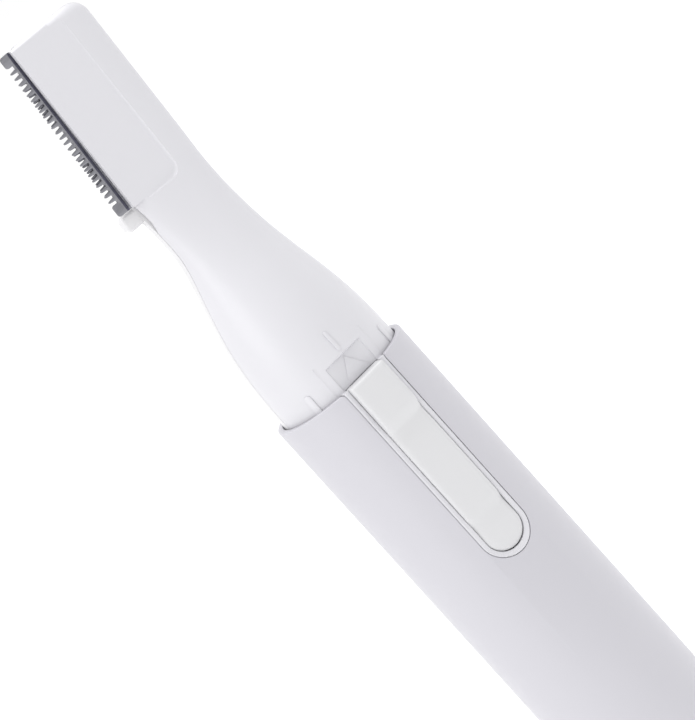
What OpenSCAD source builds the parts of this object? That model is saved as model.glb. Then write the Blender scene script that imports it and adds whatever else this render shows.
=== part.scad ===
// Pen-shaped precision hair trimmer with a side-cutting blade.
// The long axis is +Z with the blade end up, the switch faces -Y and the teeth face -X.
// The origin is the centre of the flat base that the trimmer stands on. Units are millimetres.

/* [Grip sleeve] */
// Outside diameter of the pull-off grip sleeve
grip_d = 19.6; // [19:0.1:20.5]
// Height of the sleeve from the base to its mouth
grip_len = 96; // [94:1:100]
// Wall of the sleeve
grip_wall = 0.8; // [0.6:0.05:0.9]
// Width of the slot that passes the switch
slot_w = 7.1; // [6.9:0.05:7.3]
// Depth of the slot below the mouth
slot_len = 28.9; // [28.5:0.1:29.5]

/* [Switch] */
// Width of the thumb slide
slide_w = 5.5; // [5.3:0.05:5.6]
// Travel from off to on
switch_travel = 3.3; // [3:0.1:3.5]

/* [Head] */
// Lean of the head in the plane of its face, in degrees
head_lean = 3.84; // [2:0.02:5]
// Distance from the mouth of the sleeve to the tip of the head
reach = 56.1; // [55.9:0.1:57.5]
// Pitch of the fixed comb's teeth
tooth_pitch = 0.8; // [0.75:0.01:0.82]
// Number of narrow teeth on the fixed comb
tooth_count = 25; // [20:1:25]
// Angle between the row of teeth and the edge of the face panel, in degrees
comb_taper = 1.1; // [0:0.1:1.5]

/* [Drive] */
// Throw of the eccentric pin on the motor shaft
throw = 1.2; // [0.8:0.1:1.3]

/* [Hidden] */

eps = 0.01;
far = 40;
mouth = grip_len;

// Colours of the real materials
body_white = [0.93, 0.93, 0.95];
grip_white = [0.88, 0.87, 0.91];
steel = [0.62, 0.62, 0.64];
copper = [0.78, 0.52, 0.30];

// Grip sleeve
grip_r = grip_d / 2;
grip_in_r = grip_r - grip_wall;
grip_floor = 1.2;
base_edge_r = 1.8;
slot_r = slot_w / 2;
slot_centre_z = mouth - slot_len + slot_r;

// Inner body, which the two shells make together
shell_r = grip_in_r - 0.2;
bore_r = shell_r - 1.2;
shell_foot = grip_floor + 0.1;
bay_floor = shell_foot + 1.7;
bulkhead_z = bay_floor + 56.5;
bulkhead_t = 1.2;
wall = 1.1;
seam_gap = 0.04;

// Rim and track of the thumb slide
rim_r = slot_r - 0.1;
track_r = slide_w / 2 + 0.1;
track_floor = 7.7;
track_floor_t = 1.0;
recess_len = switch_travel + 0.1;
slide_foot = mouth - slot_len + 0.9;
stem_half_w = 1.1;
stem_z = [68.6, 71];

// Neck and head: height above the mouth, left edge, right edge, front depth, back depth, squareness.
// Left is -X and the face of the head is -Y.
stations = [
    [ 0.0, -8.77, 8.77, 8.77, 8.77, 2.0],
    [ 4.0, -8.75, 8.75, 8.72, 8.74, 2.0],
    [ 8.0, -8.45, 8.42, 8.35, 8.42, 2.0],
    [12.0, -7.80, 7.82, 7.50, 7.75, 2.0],
    [16.0, -6.77, 7.02, 6.20, 6.70, 2.1],
    [20.0, -5.72, 6.38, 4.80, 5.40, 2.2],
    [24.0, -4.95, 6.00, 3.70, 4.30, 2.3],
    [28.0, -4.95, 5.80, 2.85, 3.40, 2.5],
    [32.0, -5.46, 5.68, 2.35, 2.90, 2.8],
    [36.0, -5.46, 5.72, 2.25, 2.70, 3.0],
    [54.7, -5.46, 5.76, 2.12, 2.55, 3.0]
];
tip_from = 54.7;
tip_r = reach - tip_from;
bend_from = 25;
bend_to = 31;
bend_r = (bend_to - bend_from) / (head_lean * PI / 180);
bend_x = bend_r * (1 - cos(head_lean));
bend_z = bend_from + bend_r * sin(head_lean);

// Head details, in the head's own frame
blade_line = -5.48;
facet_right = 1.77;
facet_from = 32.3;
facet_corner = 1.3;
facet_y = -2.0;
head_back_y = 2.2;
blade_front_y = -1.2;
fixed_t = 0.4;
moving_t = 0.3;
blade_gap = 0.02;
moving_front_y = blade_front_y + fixed_t + blade_gap;
blade_from = 32.35;
blade_to = 55.8;
nub_x = -7.5;
nub_w = [29.95, 32.15];
nub_r = 0.6;
root_x = -6.41;
tooth_tip_x = -7.38;
pin_x = -0.6;
pin_w = [37, 52];
moving_back_y = moving_front_y + moving_t;
driver_x = [-3.3, -1.9];
driver_y = [moving_back_y, 0.65];
spring_x = [-3.2, -2.0];
pocket_x = [-3.6, 0.9];

// Seam between the shells: height above the mouth and depth
seam_y = -0.8;
seam = [[-far * 3, 0], [15, 0], [24, seam_y], [far * 2, seam_y]];

// Bell crank that turns the eccentric's sideways throw into the blade's stroke
pivot_x = 2.6;
pivot_w = 24;
crank_tip_x = -2.4;
fork_w = [4.3, 9.5];
short_arm = pivot_x - crank_tip_x;
lever_pin_r = 0.5;
ecc_pin_r = 0.5;
fork_half = 2 * throw + ecc_pin_r + 0.4;

// Motor
motor_z = [74, 89];
motor_r = 6;
motor_half_t = 5;
shaft_r = 0.5;
can_t = 0.5;

// Battery, an R6 (AA) cell
cell_r = 7.05;
cell_z = bay_floor + 5.6;
cell_len = 49.1;
terminal_r = 2.7;
terminal_h = 1.2;

// Contacts
strip_t = 0.25;
side_strip_x = 7.12;
contact_y = -5.2;
contact_t = 0.3;
bridge_y = [contact_y - 0.38, contact_y - 0.05];

screw_at = [[5.2, 64], [5.5, 92.3]];
screw_r = 0.75;
screw_head_r = 1.3;
screw_head_y = [4.6, 5.5];

// ---------- helpers ----------

// Cubic through a table's rows, by height, for column c
function span_of(w, i = 0) = i >= len(stations) - 2 || w < stations[i + 1][0] ? i : span_of(w, i + 1);
function slope_at(i, c) =
    i == 0 || i == len(stations) - 1 ? 0
    : (stations[i + 1][c] - stations[i - 1][c]) / (stations[i + 1][0] - stations[i - 1][0]);
function column(w, c) =
    let (i = span_of(w), a = stations[i], b = stations[i + 1],
         h = b[0] - a[0], t = min(1, max(0, (w - a[0]) / h)),
         t2 = t * t, t3 = t2 * t)
    (2 * t3 - 3 * t2 + 1) * a[c] + (t3 - 2 * t2 + t) * h * slope_at(i, c)
    + (3 * t2 - 2 * t3) * b[c] + (t3 - t2) * h * slope_at(i + 1, c);

// The head leans: a straight-frame point (x, y, height above the mouth) in the part's frame
function lean(x, y, w) =
    w <= bend_from ? [x, y, mouth + w]
    : w <= bend_to
        ? let (a = (w - bend_from) / bend_r * 180 / PI)
          [bend_r * (1 - cos(a)) + x * cos(a), y, mouth + bend_from + bend_r * sin(a) - x * sin(a)]
        : [bend_x + (w - bend_to) * sin(head_lean) + x * cos(head_lean), y,
           mouth + bend_z + (w - bend_to) * cos(head_lean) - x * sin(head_lean)];

function power(v, p) = sign(v) * pow(abs(v), p);

// One cross-section of the neck or head, inset by the wall and shrunk towards the tip's rounding
function ring(w, inset, sides, shrink = 0) =
    let (left = column(w, 1) + inset + shrink, right = column(w, 2) - inset - shrink,
         front = column(w, 3) - inset - shrink, back = column(w, 4) - inset - shrink,
         p = 2 / column(w, 5), mid = (left + right) / 2, half = (right - left) / 2)
    [for (k = [0 : sides - 1])
        let (a = 360 * k / sides, c = power(cos(a), p), s = power(sin(a), p))
        [mid + half * c, (s < 0 ? front : back) * s, w]];

function loft_faces(rings, sides) = concat(
    [[for (k = [0 : sides - 1]) k]],
    [for (r = [0 : rings - 2], k = [0 : sides - 1])
        let (a = r * sides + k, b = r * sides + (k + 1) % sides)
        [a, a + sides, b + sides, b]],
    [[for (k = [sides - 1 : -1 : 0]) (rings - 1) * sides + k]]
);

module loft(levels, inset, sides, tip_steps = 0) {
    last = levels[len(levels) - 1];
    body_rings = [for (w = levels) ring(w, inset, sides)];
    tip_rings = [for (k = [1 : 1 : tip_steps])
        let (a = 90 * k / tip_steps, r = ring(last, inset, sides, tip_r * 0.7 * (1 - cos(a))))
        [for (p = r) [p[0], p[1], last + tip_r * sin(a)]]];
    rings = concat(body_rings, tip_rings);
    points = [for (r = rings, p = r) lean(p[0], p[1], p[2])];
    polyhedron(points, loft_faces(len(rings), sides), convexity = 6);
}

// Puts straight-frame children (height above the mouth as Z) into the leaning head
module in_head() {
    translate([bend_x, 0, mouth + bend_z])
        rotate([0, head_lean, 0])
            translate([0, 0, -bend_to])
                children();
}

// A box from one corner to the other
module block(x, y, z) {
    translate([x[0], y[0], z[0]])
        cube([x[1] - x[0], y[1] - y[0], z[1] - z[0]]);
}

// Extrudes an XZ outline between two depths
module slab(y) {
    translate([0, y[1], 0])
        rotate([90, 0, 0])
            linear_extrude(y[1] - y[0])
                children();
}

// Extrudes a YZ outline between two places along X
module slab_x(x) {
    translate([x[0], 0, 0])
        rotate([90, 0, 90])
            linear_extrude(x[1] - x[0])
                children();
}

module post(r, y, x, z, fn = 32) {
    translate([x, y[1], z])
        rotate([90, 0, 0])
            cylinder(r = r, h = y[1] - y[0], $fn = fn);
}

module tube(r, z, fn = 48) {
    translate([0, 0, z[0]])
        cylinder(r = r, h = z[1] - z[0], $fn = fn);
}

// A slot's outline with a round lower end
module u_outline(r, top) {
    translate([0, slot_centre_z])
        circle(r = r, $fn = 48);
    translate([-r, slot_centre_z])
        square([2 * r, top - slot_centre_z]);
}

// Everything on the front side of the seam, from x to x
module front_side(shift) {
    slab_x([-far, far])
        polygon(concat([[-far, -far]], [for (p = seam) [p[1] - shift, mouth + p[0]]], [[-far, mouth + 2 * far]]));
}

module back_side(shift) {
    slab_x([-far, far])
        polygon(concat([[far, -far]], [for (p = seam) [p[1] + shift, mouth + p[0]]], [[far, mouth + 2 * far]]));
}

// The outline of the motor, a round can with two flats
module motor_outline(grow = 0) {
    intersection() {
        circle(r = motor_r + grow, $fn = 64);
        square([4 * motor_r, 2 * (motor_half_t + grow)], center = true);
    }
}

// ---------- grip ----------

module grip_sleeve() color(grip_white)
difference() {
    rotate_extrude($fn = 96) {
        square([grip_r - base_edge_r, grip_len]);
        translate([0, base_edge_r])
            square([grip_r, grip_len - base_edge_r]);
        translate([grip_r - base_edge_r, base_edge_r])
            intersection() {
                circle(r = base_edge_r, $fn = 48);
                translate([0, -base_edge_r])
                    square(base_edge_r);
            }
    }
    tube(grip_in_r, [grip_floor, grip_len + 1], 96);
    slab([-far, -4])
        u_outline(slot_r, grip_len + 1);
}

// ---------- shells ----------

outer_levels = [0, 2, 4, 6, 8, 10, 12, 14, 16, 18, 20, 22, 24, 26, 28, 30, 32, 36, 46, tip_from];
inner_levels = [0, 4, 8, 12, 15, 18, 21, 24, 27, 30];

module shell_outside() {
    tube(shell_r, [shell_foot, mouth]);
    loft(outer_levels, 0, 48, 3);
    in_head()
        block([blade_line, 0], [facet_y, head_back_y], [facet_from, tip_from + 0.6]);
}

module shell_inside() {
    tube(bore_r, [bay_floor, bulkhead_z]);
    tube(bore_r, [bulkhead_z + bulkhead_t, mouth]);
    loft(inner_levels, wall, 48);
}

// Bulkhead slots for the contact strips
module strip_slots() {
    block([-1.7, 1.7], [-5.5, -4.7], [bulkhead_z - 1, bulkhead_z + bulkhead_t + 1]);
    block([6.9, 7.5], [-1.35, 1.35], [bulkhead_z - 1, bulkhead_z + bulkhead_t + 1]);
}

// Half-ring walls that carry the motor
module motor_walls() {
    for (z = [motor_z[0] + 2.7, motor_z[1] - 2.2])
        translate([0, 0, z])
            difference() {
                cylinder(r = bore_r + 0.2, h = 1, $fn = 48);
                translate([0, 0, -1])
                    linear_extrude(3)
                        motor_outline(0.12);
            }
}

// The flat face panel, sunk into the head, with one round corner
module facet_cut() {
    in_head()
        slab([-far, facet_y]) {
            translate([blade_line - 1, facet_from])
                square([facet_right - facet_corner - blade_line + 1, far]);
            translate([blade_line - 1, facet_from + facet_corner])
                square([facet_right - blade_line + 1, far]);
            translate([facet_right - facet_corner, facet_from + facet_corner])
                circle(r = facet_corner, $fn = 48);
        }
}

// The pocket behind the face plate for the fixed comb
module fixed_blade_pocket() {
    in_head()
        block([-far, 0.7], [blade_front_y - blade_gap, far], [blade_from - 0.05, blade_to + 0.05]);
}

// The pocket in the back shell for the moving blade, its driver and its spring
module drive_pocket() {
    in_head() {
        block(pocket_x, [-1, 1.4], [28, moving_w[1] + 0.4]);
        block([-far, pocket_x[1]], [-1, moving_back_y + 0.06], [32.3, moving_w[1] + 0.4]);
    }
}

// The raised rim round the thumb slide, flush with the sleeve
module switch_rim() {
    intersection() {
        slab([-grip_r, -bore_r])
            difference() {
                u_outline(rim_r, mouth);
                u_outline(track_r, mouth + 1);
            }
        tube(grip_r, [slot_centre_z - slot_w, mouth], 96);
    }
}

module switch_track() {
    slab([-far, -track_floor])
        u_outline(track_r, mouth + eps);
    block([-track_r, track_r], [-far, -track_floor], [mouth, mouth + recess_len]);
}

// The wall under the thumb slide
module track_wall() {
    block([-4, 4], [-track_floor, -track_floor + track_floor_t], [slot_centre_z - 3.6, mouth + 4.5]);
}

// Plain raised marks: a bar at the switched-on end, and an arrow in the slide's recess
module on_mark() {
    translate([-0.25, mouth + 4.35])
        square([0.5, 2.4]);
    for (w = [4.35, 6.75])
        translate([0, mouth + w])
            circle(r = 0.25, $fn = 24);
}

module raised_marks() {
    intersection() {
        slab([-far, -7.6])
            on_mark();
        translate([0, 0, mouth + 3.9])
            cylinder(r1 = 8.84, r2 = 8.60, h = 3.2, $fn = 96);
    }
    slab([-track_floor - 0.12, -track_floor + 0.1])
        polygon([[-1.8, mouth + 0.3], [1.8, mouth + 0.3], [0, mouth + 3.1]]);
}

// Two ribs beside the switch that centre the sleeve's mouth
module mouth_ribs() {
    for (side = [-1, 1])
        rotate([0, 0, side * 46])
            block([-0.5, 0.5], [-8.95, -8.2], [mouth - 8, mouth + 2.5]);
}

module lever_boss(y) {
    post(1.3, y, pivot_x, mouth + pivot_w);
}

module front_shell() color(body_white)
difference() {
    union() {
        intersection() {
            difference() {
                shell_outside();
                shell_inside();
            }
            front_side(seam_gap / 2);
        }
        track_wall();
        switch_rim();
        raised_marks();
        mouth_ribs();
        lever_boss([-2.6, -1.25]);
        intersection() {
            motor_walls();
            block([-far, far], [-far, -seam_gap / 2], [0, mouth]);
        }
        intersection() {
            for (s = screw_at, side = [-1, 1])
                post(1.6, [-7, -0.3], side * s[0], s[1]);
            tube(bore_r + 0.3, [60, mouth], 96);
        }
    }
    switch_track();
    // the slot that the slide's stem travels in
    block([-stem_half_w - 0.1, stem_half_w + 0.1], [-far, -bore_r + 2],
          [stem_z[0] - 0.1, stem_z[1] + switch_travel + 0.2]);
    strip_slots();
    fixed_blade_pocket();
    facet_cut();
    post(lever_pin_r + 0.01, [-2.4, 0], pivot_x, mouth + pivot_w);
    for (s = screw_at, side = [-1, 1])
        post(screw_r + 0.01, [-4.8, 0], side * s[0], s[1]);
}

// Rounded nub beside the lower end of the blade
module guard_nub() {
    in_head()
        slab([seam_y + seam_gap / 2, 1.2]) {
            translate([nub_x + nub_r, nub_w[0]])
                square([-5 - nub_x - nub_r, nub_w[1] - nub_w[0]]);
            translate([nub_x, nub_w[0] + nub_r])
                square([nub_r, nub_w[1] - nub_w[0] - 2 * nub_r]);
            for (w = [nub_w[0] + nub_r, nub_w[1] - nub_r])
                translate([nub_x + nub_r, w])
                    circle(r = nub_r, $fn = 32);
        }
}

module back_shell() color(body_white)
difference() {
    union() {
        intersection() {
            difference() {
                shell_outside();
                shell_inside();
            }
            back_side(seam_gap / 2);
        }
        guard_nub();
        lever_boss([1.35, 3.1]);
        intersection() {
            motor_walls();
            block([-far, far], [seam_gap / 2, far], [0, mouth]);
        }
        intersection() {
            for (s = screw_at, side = [-1, 1])
                post(1.8, [0.3, 6.2], side * s[0], s[1]);
            tube(bore_r + 0.3, [60, mouth], 96);
        }
    }
    strip_slots();
    drive_pocket();
    post(lever_pin_r + 0.01, [1, 2.7], pivot_x, mouth + pivot_w);
    for (s = screw_at, side = [-1, 1]) {
        post(screw_r + 0.1, [0, far], side * s[0], s[1]);
        post(screw_head_r + 0.1, [screw_head_y[0], far], side * s[0], s[1]);
    }
    // the window that the battery is changed through
    block([-cell_r - 0.1, cell_r + 0.1], [1.5, far], [bay_floor + 0.6, bulkhead_z - 0.6]);
}

module shell_screws() color(steel)
difference() {
    for (s = screw_at, side = [-1, 1]) {
        post(screw_r, [-4.6, screw_head_y[0]], side * s[0], s[1]);
        post(screw_head_r, screw_head_y, side * s[0], s[1]);
    }
    for (s = screw_at, side = [-1, 1], turn = [0, 90])
        translate([side * s[0], screw_head_y[1], s[1]])
            rotate([0, turn, 0])
                cube([1.7, 0.8, 0.35], center = true);
}

// ---------- cutter ----------

// How far the row of teeth has come in towards the face panel, by height above the mouth
function taper(w) = (w - blade_from) * tan(comb_taper);

// A plate whose -X edge follows the row of teeth
module tapered_plate(root, right, w) {
    polygon([[root + taper(w[0]), w[0]], [right, w[0]], [right, w[1]], [root + taper(w[1]), w[1]]]);
}

// A row of tapered teeth with round ends
module teeth(count, pitch, first, root, tip, root_w, tip_w) {
    for (k = [0 : count - 1])
        translate([taper(first + k * pitch), first + k * pitch]) {
            polygon([[root + 0.1, -root_w / 2], [root + 0.1, root_w / 2],
                     [tip + tip_w / 2, tip_w / 2], [tip + tip_w / 2, -tip_w / 2]]);
            translate([tip + tip_w / 2, 0])
                circle(r = tip_w / 2, $fn = 16);
        }
}

row_from = blade_from + 2.15;
row_to = row_from + (tooth_count - 1) * tooth_pitch;

module fixed_blade() color(steel)
in_head()
    slab([blade_front_y, blade_front_y + fixed_t])
        difference() {
            union() {
                tapered_plate(root_x, 0.6, [blade_from, blade_to]);
                // the blunt end teeth
                translate([tooth_tip_x, blade_from])
                    square([1, 1.6]);
                translate([tooth_tip_x + taper(blade_to), row_to + 0.7])
                    square([1, blade_to + 0.2 - row_to - 0.7]);
                teeth(tooth_count, tooth_pitch, row_from, root_x, tooth_tip_x, 0.5, 0.28);
            }
            for (w = pin_w)
                translate([pin_x, w])
                    circle(r = 0.72, $fn = 32);
        }

// The moving blade has 11 teeth to the comb's 12, so that they meet the comb's one after another
moving_pitch = tooth_pitch * 12 / 11;
moving_w = [33.4, 54.8];
moving_count = floor((moving_w[1] - 0.9 - row_from) / moving_pitch) + 1;

module moving_blade() color(steel * 0.9)
in_head()
    slab([moving_front_y, moving_front_y + moving_t])
        difference() {
            union() {
                tapered_plate(root_x + 0.1, 0, moving_w);
                teeth(moving_count, moving_pitch, row_from, root_x, tooth_tip_x + 0.2, 0.46, 0.26);
            }
            for (w = pin_w)
                hull()
                    for (d = [-0.6, 0.6])
                        translate([pin_x, w + d])
                            circle(r = 0.78, $fn = 32);
        }

module blade_pins() color(body_white)
in_head()
    for (w = pin_w) {
        post(0.7, [blade_front_y - blade_gap, moving_back_y + 0.05], pin_x, w);
        post(1.05, [moving_back_y + 0.05, 0.1], pin_x, w);
    }

// The plastic bar on the moving blade, with a notch for the crank's tip
module blade_driver() color([0.85, 0.86, 0.88])
in_head()
    slab(driver_y)
        difference() {
            translate([driver_x[0], 22.2])
                square([driver_x[1] - driver_x[0], 28.8]);
            translate([crank_notch_x, crank_notch_z - 0.78])
                square([4, 1.56]);
        }
// The crank tip's place in the head's own frame
crank_notch_x = (crank_tip_x - bend_x) * cos(head_lean) - (pivot_w - bend_z) * sin(head_lean) - 0.78;
crank_notch_z = (crank_tip_x - bend_x) * sin(head_lean) + (pivot_w - bend_z) * cos(head_lean) + bend_to;

// A bowed leaf that presses the blades together
leaf_r = 72;
leaf_rise = 1.36;
leaf_t = 0.24;
leaf_half = 7.5;
module blade_spring() color(steel)
in_head()
    translate([spring_x[0], 0, 42])
        rotate([90, 0, 90])
            linear_extrude(spring_x[1] - spring_x[0])
                difference() {
                    translate([leaf_rise - leaf_r, 0])
                        circle(r = leaf_r, $fn = 200);
                    translate([leaf_rise - leaf_t - leaf_r, 0])
                        circle(r = leaf_r, $fn = 200);
                    translate([-200, -100])
                        square([200, 200]);
                    translate([-10, leaf_half])
                        square([20, 100]);
                    translate([-10, -leaf_half - 100])
                        square([20, 100]);
                }

module lever_pin() color(steel)
    post(lever_pin_r, [-2.35, 2.65], pivot_x, mouth + pivot_w);

module drive_lever() color([0.85, 0.86, 0.88])
difference() {
    union() {
        post(1.4, [-1.15, 1.25], pivot_x, mouth + pivot_w);
        // short arm to the blade driver
        slab([-0.4, 0.6]) {
            translate([crank_tip_x, mouth + pivot_w])
                circle(r = 0.7, $fn = 32);
            translate([crank_tip_x, mouth + pivot_w - 0.6])
                square([short_arm, 1.2]);
            // long arm down to the fork
            polygon([[pivot_x - 1.1, mouth + pivot_w], [pivot_x + 1.1, mouth + pivot_w],
                     [1.4, mouth + fork_w[1]], [-1.4, mouth + fork_w[1]]]);
        }
        block([-fork_half - 1.1, fork_half + 1.1], [-2.2, 2.2], [mouth + fork_w[1], mouth + fork_w[1] + 1.3]);
        for (side = [-1, 1])
            block([side * (fork_half + 0.55) - 0.55, side * (fork_half + 0.55) + 0.55], [-2.2, 2.2],
                  [mouth + fork_w[0], mouth + fork_w[1] + 1]);
    }
    post(lever_pin_r + 0.05, [-far, far], pivot_x, mouth + pivot_w);
}

// ---------- motor ----------

module motor_can() color([0.75, 0.75, 0.77])
difference() {
    union() {
        translate([0, 0, motor_z[0]])
            linear_extrude(motor_z[1] - motor_z[0])
                motor_outline();
        tube(1.8, [motor_z[1], motor_z[1] + 1.2], 32);
    }
    translate([0, 0, motor_z[0] - 1])
        linear_extrude(motor_z[1] - motor_z[0] + 1 - can_t)
            motor_outline(-can_t);
    tube(shaft_r + 0.05, [motor_z[0], motor_z[1] + 2], 32);
}

module motor_magnets() color([0.25, 0.25, 0.27])
intersection() {
    difference() {
        tube(motor_r - can_t - 0.02, [76.9, 87.2], 64);
        tube(4.2, [76, 88], 64);
    }
    union() {
        block([3, 6], [-3.2, 3.2], [76, 88]);
        block([-6, -3], [-3.2, 3.2], [76, 88]);
    }
}

module motor_end_bell() color([0.15, 0.15, 0.16])
difference() {
    translate([0, 0, motor_z[0] - 0.8]) {
        linear_extrude(0.8 + 1.3)
            motor_outline(-can_t - 0.02);
        linear_extrude(0.8)
            motor_outline();
    }
    tube(shaft_r + 0.05, [motor_z[0] - 0.3, motor_z[0] + 3], 32);
}

module motor_brushes() color(copper)
    for (side = [-1, 1])
        block([side * 1.42 - 0.1, side * 1.42 + 0.1], [-3.4, 3.4], [75.35, 76.6]);

module motor_terminals() color(copper)
    for (side = [-1, 1])
        block([side * 3 - 0.2, side * 3 + 0.2], [-0.6, 0.6], [70.8, motor_z[0] - 0.8]);

module motor_cushion() color([0.2, 0.2, 0.22])
    translate([0, 0, 78])
        linear_extrude(6.5)
            difference() {
                motor_outline(0.7);
                motor_outline(0.01);
            }

module motor_shaft() color(steel)
    tube(shaft_r, [motor_z[0] - 0.2, mouth + 2], 32);

module motor_armature() color(copper)
difference() {
    tube(3.9, [77.6, 86.6], 48);
    tube(shaft_r, [70, 90], 32);
    for (k = [0 : 2])
        rotate([0, 0, 120 * k])
            block([1.6, 5], [-0.35, 0.35], [77, 87]);
}

module motor_commutator() color(copper)
difference() {
    tube(1.3, [75.4, 77.55], 32);
    tube(shaft_r, [70, 90], 32);
}

module eccentric_cam() color([0.85, 0.86, 0.88])
difference() {
    union() {
        tube(1.5, [mouth - 2.5, mouth + 3], 32);
        tube(2.4, [mouth + 0.5, mouth + 3], 48);
    }
    tube(shaft_r, [mouth - 3, mouth + 2], 32);
    translate([throw, 0, mouth + 1])
        cylinder(r = ecc_pin_r, h = 3, $fn = 32);
}

module eccentric_pin() color(steel)
    translate([throw, 0, mouth + 1])
        cylinder(r = ecc_pin_r, h = 7.5, $fn = 32);

// ---------- battery and contacts ----------

module battery_cell() color([0.30, 0.34, 0.42])
    tube(cell_r, [cell_z, cell_z + cell_len], 96);

module battery_terminal() color(steel)
    tube(terminal_r, [cell_z + cell_len, cell_z + cell_len + terminal_h], 48);

contact_z = cell_z + cell_len + terminal_h + 0.02;
module positive_contact() color(copper) {
    tube(4.2, [contact_z, contact_z + 0.35], 48);
    block([-1.5, 1.5], [contact_y, 0], [contact_z, contact_z + 0.35]);
    block([-1.5, 1.5], [contact_y, contact_y + contact_t], [contact_z, 70.5]);
}

// A strip from the motor's terminal to the switch
module motor_strip() color(copper) {
    block([-3.5, 1.2], [contact_y, contact_y + contact_t], [71.8, 73]);
    block([-3.5, -3.2], [contact_y, 0.6], [71.8, 73]);
}

// The spring's plate at the bottom of the bay, and its strip up the side to the motor
module negative_strip() color(copper) {
    block([side_strip_x, side_strip_x + strip_t], [-1.2, 1.2], [bay_floor + 0.02, 73]);
    block([0, side_strip_x + strip_t], [-1.2, 1.2], [bay_floor + 0.02, bay_floor + 0.02 + strip_t]);
    block([3.2, side_strip_x + strip_t], [-0.6, 0.6], [72.7, 73]);
    tube(5.6, [bay_floor + 0.02, bay_floor + 0.02 + strip_t], 48);
}

// Conical spring, as one swept polyhedron
spring_wire_r = 0.35;
spring_turns = 3.5;
spring_steps = 56;
spring_sides = 8;
spring_foot = bay_floor + strip_t + 0.05 + spring_wire_r;
spring_h = cell_z - spring_foot - spring_wire_r - 0.03;
function spring_at(t) =
    let (a = 360 * spring_turns * t, r = 5.0 - 2.2 * t)
    [r * cos(a), r * sin(a), spring_foot + spring_h * t];

module negative_spring() color(steel)
polyhedron(
    [for (k = [0 : spring_steps], s = [0 : spring_sides - 1])
        let (t = k / spring_steps, a = 360 * spring_turns * t, b = 360 * s / spring_sides,
             p = spring_at(t))
        p + spring_wire_r * [cos(a) * cos(b), sin(a) * cos(b), sin(b)]],
    concat(
        [[for (s = [spring_sides - 1 : -1 : 0]) s]],
        [for (k = [0 : spring_steps - 1], s = [0 : spring_sides - 1])
            let (a = k * spring_sides + s, b = k * spring_sides + (s + 1) % spring_sides)
            [a, b, b + spring_sides, a + spring_sides]],
        [[for (s = [0 : spring_sides - 1]) spring_steps * spring_sides + s]]
    ),
    convexity = 8
);

// ---------- switch ----------

slide_end_r = slide_w / 2;

// Side profile of the thumb slide: a raised platform, then two steps down that the thumb pushes against
slide_back = track_floor + 0.05;
slide_over = track_floor + 0.25;
module slide_profile() {
    polygon([
        [-slide_back, slide_foot], [-9, slide_foot], [-9.3, slide_foot + 0.5], [-9.3, mouth - 22.6],
        [-9.55, mouth - 21.8], [-9.7, mouth - 20.9], [-9.55, mouth - 9.4], [-9.6, mouth - 7.8],
        [-10.1, mouth - 6.7], [-10.3, mouth - 5.6], [-10.3, mouth - 0.3],
        [-10, mouth], [-slide_over, mouth], [-slide_over, mouth - 4], [-slide_back, mouth - 4]
    ]);
}

module switch_slide() color(body_white) {
    intersection() {
        slab_x([-slide_w / 2, slide_w / 2])
            slide_profile();
        slab([-far, 0]) {
            translate([0, slide_foot + slide_end_r])
                circle(r = slide_end_r, $fn = 48);
            translate([-slide_end_r, slide_foot + slide_end_r])
                square([slide_w, mouth - slide_foot]);
        }
    }
    block([-stem_half_w, stem_half_w], [-slide_back - 0.1, bridge_y[0]], stem_z);
}

// Keeps the slide in its track from the inside, and clicks at each end of the travel
module slide_clip() color([0.85, 0.86, 0.88])
difference() {
    block([-2.4, 2.4], [-6.62, -6.2], [stem_z[0] - 1.6, stem_z[1] + 1.5]);
    block([-stem_half_w - eps, stem_half_w + eps], [-7, -6], [stem_z[0] - eps, stem_z[1] + eps]);
}

module switch_bridge() color(copper)
    block([-1.4, 1.4], bridge_y, [65.6, 71.2]);

// ---------- output ----------

grip_sleeve();
front_shell();
back_shell();
shell_screws();
fixed_blade();
blade_pins();
blade_spring();
lever_pin();
moving_blade();
blade_driver();
drive_lever();
motor_can();
motor_magnets();
motor_end_bell();
motor_brushes();
motor_terminals();
motor_cushion();
motor_shaft();
motor_armature();
motor_commutator();
eccentric_cam();
eccentric_pin();
battery_cell();
battery_terminal();
positive_contact();
negative_spring();
negative_strip();
motor_strip();
switch_slide();
slide_clip();
switch_bridge();
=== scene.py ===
"""A pen-shaped precision hair trimmer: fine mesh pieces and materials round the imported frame.

Shapes are worked out in millimetres in the frame's own axes and scaled to metres when a piece is made.
+Z runs up the handle to the blade end, the switch faces -Y and the teeth face -X.
"""
import math

import bmesh
import bpy
from mathutils import Matrix, Vector

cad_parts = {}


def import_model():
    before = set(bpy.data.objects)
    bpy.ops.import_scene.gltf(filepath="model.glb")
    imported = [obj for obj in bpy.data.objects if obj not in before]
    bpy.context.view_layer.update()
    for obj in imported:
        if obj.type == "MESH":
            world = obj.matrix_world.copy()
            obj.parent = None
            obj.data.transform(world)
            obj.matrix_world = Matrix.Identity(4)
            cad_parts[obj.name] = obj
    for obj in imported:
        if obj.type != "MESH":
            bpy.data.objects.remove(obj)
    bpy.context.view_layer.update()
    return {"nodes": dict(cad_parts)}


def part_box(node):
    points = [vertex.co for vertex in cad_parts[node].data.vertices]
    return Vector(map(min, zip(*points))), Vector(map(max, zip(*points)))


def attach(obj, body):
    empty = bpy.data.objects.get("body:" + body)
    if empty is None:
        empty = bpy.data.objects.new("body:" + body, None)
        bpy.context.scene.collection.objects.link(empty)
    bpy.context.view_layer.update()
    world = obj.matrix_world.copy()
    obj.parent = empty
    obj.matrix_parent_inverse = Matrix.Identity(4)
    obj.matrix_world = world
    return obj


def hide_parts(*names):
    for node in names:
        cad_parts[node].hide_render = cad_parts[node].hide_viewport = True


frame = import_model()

MM = 0.001


# ---------- driving sizes, in millimetres ----------

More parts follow.
